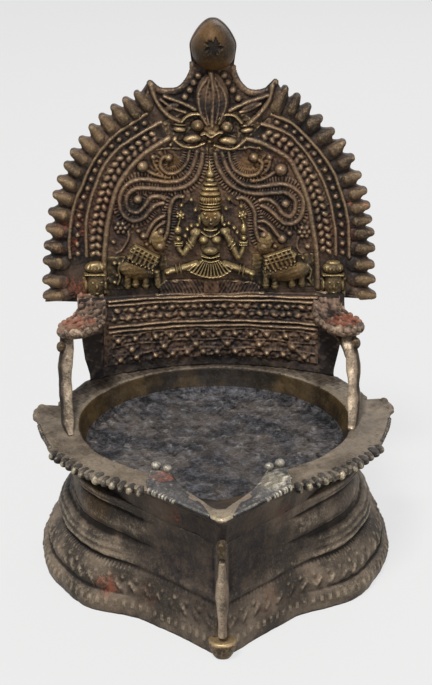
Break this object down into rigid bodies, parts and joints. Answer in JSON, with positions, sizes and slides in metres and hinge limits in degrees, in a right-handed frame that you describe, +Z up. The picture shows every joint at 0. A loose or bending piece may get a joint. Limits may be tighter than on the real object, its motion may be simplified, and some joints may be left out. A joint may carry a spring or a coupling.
{
  "type": "temple oil lamp",
  "caption": "Cast bronze oil lamp: a shallow spouted bowl on a hollow teardrop foot, with a braced and ornamented arch plate at its back.",
  "frame": {"origin": "on the ground under the middle of the lamp's outline", "axes": "+Z up, the spout points to -Y, the arch plate's front faces -Y"},
  "size_m": [0.118, 0.1296, 0.1659],
  "materials": {
    "dark_bronze": "dark brown patina, satin",
    "brown_bronze": "brown patina, satin",
    "worn_bronze": "worn, patina rubbed off the high parts",
    "gold_bronze": "rubbed bright",
    "red_bronze": "patina with dry red powder stains"
  },
  "bodies": {
    "root": {"pedestal": "dark_bronze", "oil_bowl": "dark_bronze", "spout_leaf_left": "dark_bronze", "spout_leaf_right": "dark_bronze", "back_wall": "dark_bronze", "arch_plate": "dark_bronze", "keel_rod": "worn_bronze", "keel_bead": "worn_bronze", "toe_lug": "worn_bronze", "flame_teeth_left": "worn_bronze", "flame_teeth_right": "worn_bronze", "lion_mask": "worn_bronze", "elephant_left": "worn_bronze", "elephant_right": "worn_bronze", "attendant_left": "worn_bronze", "attendant_right": "worn_bronze", "strut_left": "worn_bronze", "strut_right": "worn_bronze", "strut_pin_left": "worn_bronze", "strut_pin_right": "worn_bronze", "rim_gadroons_left": "brown_bronze", "rim_gadroons_right": "brown_bronze", "string_course_upper": "brown_bronze", "string_course_lower": "brown_bronze", "bead_band_upper": "brown_bronze", "bead_band_lower": "brown_bronze", "outer_border_left": "brown_bronze", "outer_border_right": "brown_bronze", "inner_border_left": "brown_bronze", "inner_border_right": "brown_bronze", "scroll_field_left": "brown_bronze", "scroll_field_right": "brown_bronze", "palmette": "brown_bronze", "lotus_seat": "brown_bronze", "finial_bud": "gold_bronze", "goddess": "gold_bronze", "corbel_left": "red_bronze", "corbel_right": "red_bronze"}
  },
  "joints": []
}
